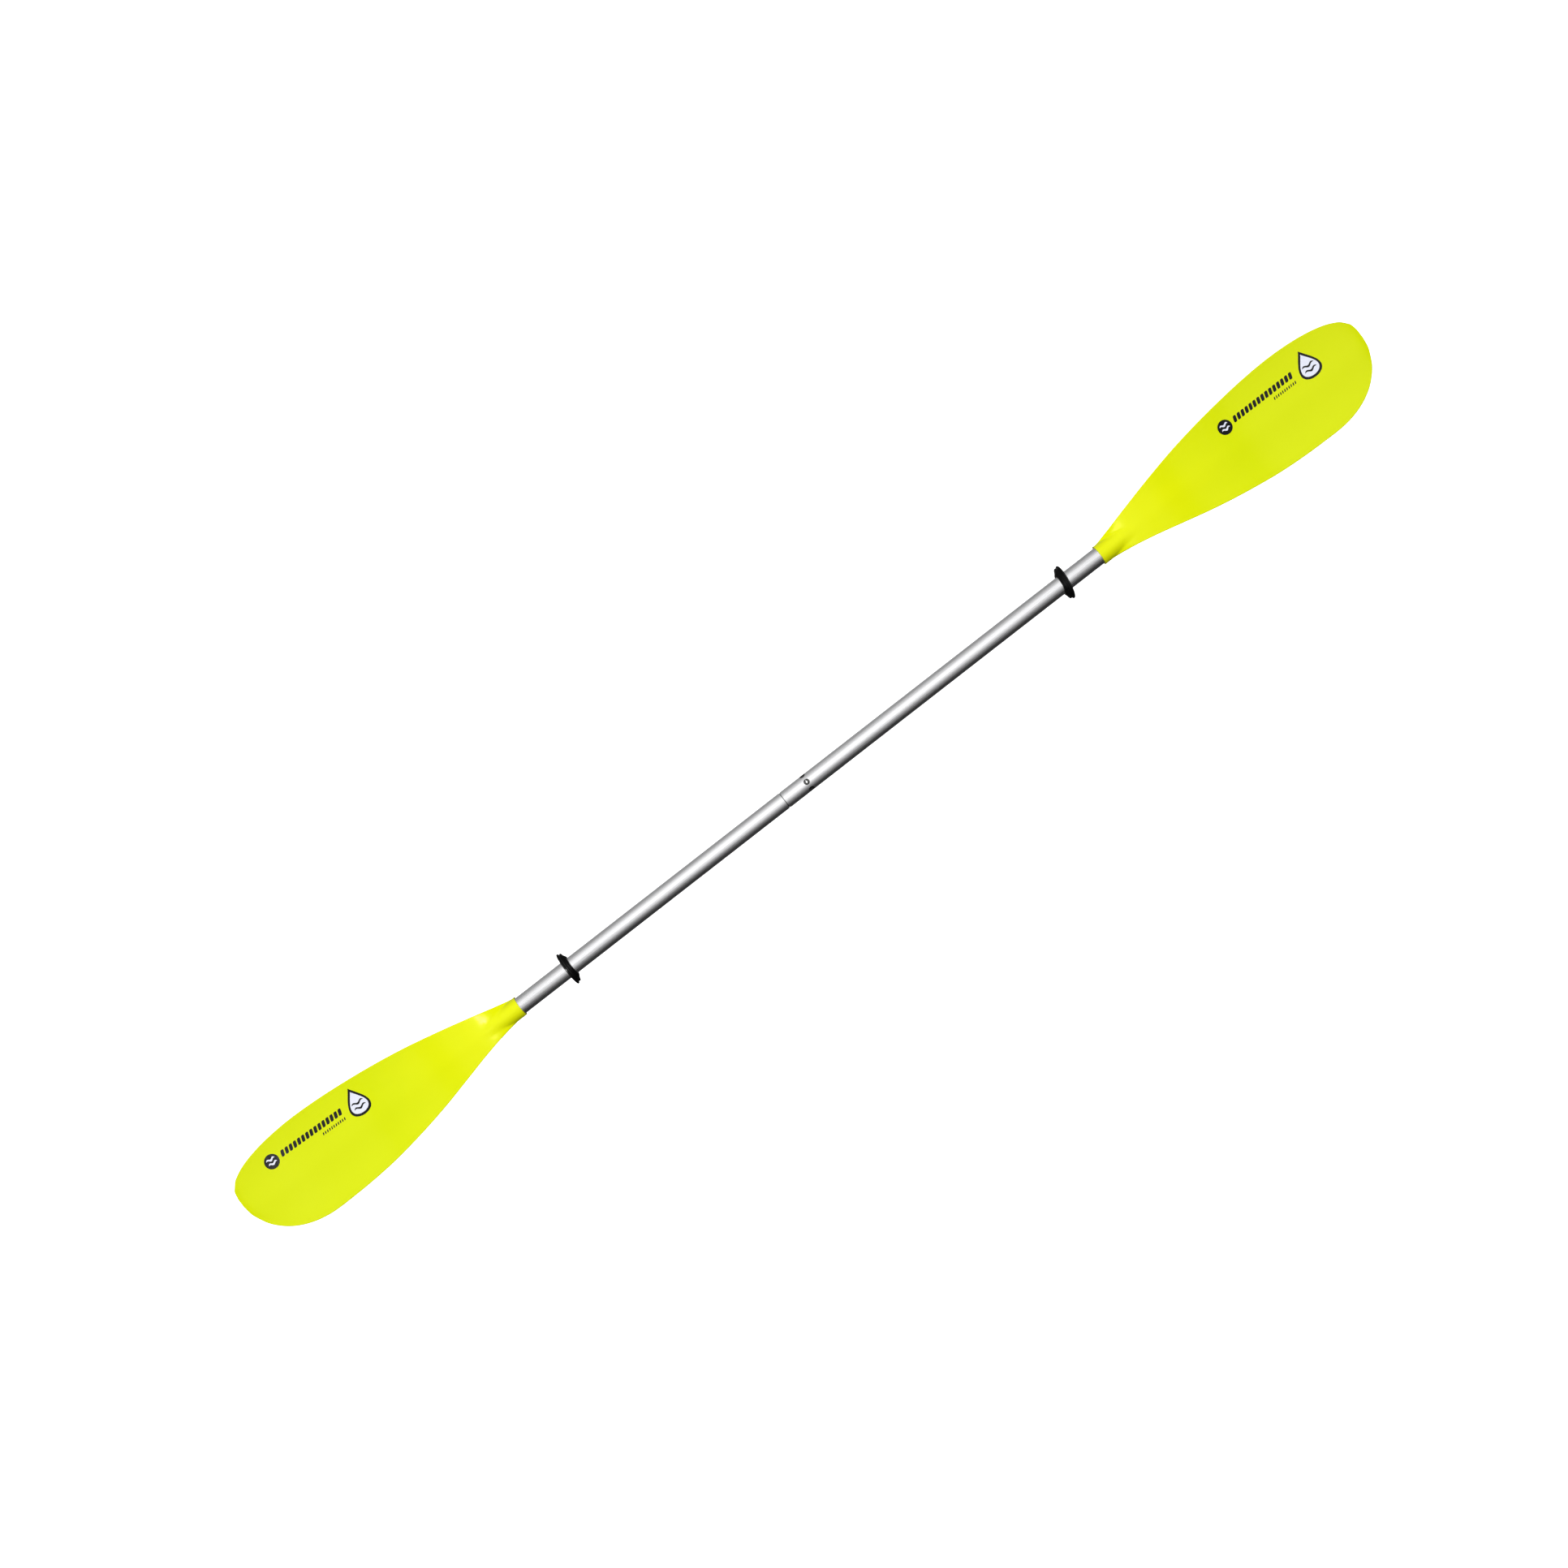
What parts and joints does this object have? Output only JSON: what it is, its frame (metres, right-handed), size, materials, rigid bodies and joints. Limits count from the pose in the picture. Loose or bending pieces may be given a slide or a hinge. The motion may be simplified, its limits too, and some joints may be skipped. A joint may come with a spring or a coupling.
{
  "type": "kayak paddle",
  "caption": "Two-piece kayak paddle: straight aluminium shaft, moulded asymmetric plastic blades, rubber drip rings, snap-button joint with feather settings.",
  "frame": {"origin": "on the shaft's axis, at the middle of the paddle's length", "axes": "+X along the shaft to the right blade, +Y across the blades to their longer edge, +Z out of the power faces"},
  "size_m": [2.1996, 0.1573, 0.0665],
  "materials": {
    "blade_plastic": "satin, yellow",
    "shaft_aluminium": "satin, anodised",
    "ferrule_plastic": "satin, black, glass-filled",
    "button_steel": "polished stainless",
    "plug_foam": "closed-cell foam",
    "end_plug_plastic": "matte, black",
    "ring_rubber": "soft satin, black",
    "rivet_aluminium": "plain",
    "mandrel_steel": "plain",
    "print_ink": "thin printed marks on the power faces, shown only in the Blender model"
  },
  "bodies": {
    "left_half": {"left_blade": "blade_plastic", "left_shaft_tube": "shaft_aluminium", "ferrule": "ferrule_plastic", "left_bulkhead_plug": "plug_foam", "left_end_plug": "end_plug_plastic", "left_blade_rivet": "rivet_aluminium", "left_blade_rivet_mandrel": "mandrel_steel", "ferrule_rivet": "rivet_aluminium", "ferrule_rivet_mandrel": "mandrel_steel", "button_spring": "button_steel"},
    "button": {"snap_button": "button_steel"},
    "spigot_core": {"right_bulkhead_plug": "plug_foam"},
    "right_half": {"right_blade": "blade_plastic", "right_shaft_tube": "shaft_aluminium", "right_end_plug": "end_plug_plastic", "right_blade_rivet": "rivet_aluminium", "right_blade_rivet_mandrel": "mandrel_steel"},
    "left_ring": {"left_drip_ring": "ring_rubber"},
    "right_ring": {"right_drip_ring": "ring_rubber"}
  },
  "joints": [
    {"name": "button_press", "type": "slide", "parent": "left_half", "child": "button", "axis": [0, -0.1219, -0.9925], "range_m": [0, 0.0048], "stiffness_N_per_m": 1500, "springref_m": -0.002, "deforming": ["button_spring"]},
    {"name": "pull_apart", "type": "slide", "parent": "left_half", "child": "spigot_core", "axis": [1, 0, 0], "range_m": [0, 0.11], "deforming": ["snap_button"]},
    {"name": "feather_turn", "type": "hinge", "parent": "spigot_core", "child": "right_half", "pos_m": [0, 0, 0], "axis": [1, 0, 0], "range_deg": [-60, 60], "deforming": ["snap_button"]},
    {"name": "left_ring_slide", "type": "slide", "parent": "left_half", "child": "left_ring", "axis": [1, 0, 0], "range_m": [-0.09, 0.3]},
    {"name": "right_ring_slide", "type": "slide", "parent": "right_half", "child": "right_ring", "axis": [1, 0, 0], "range_m": [-0.3, 0.06]}
  ]
}
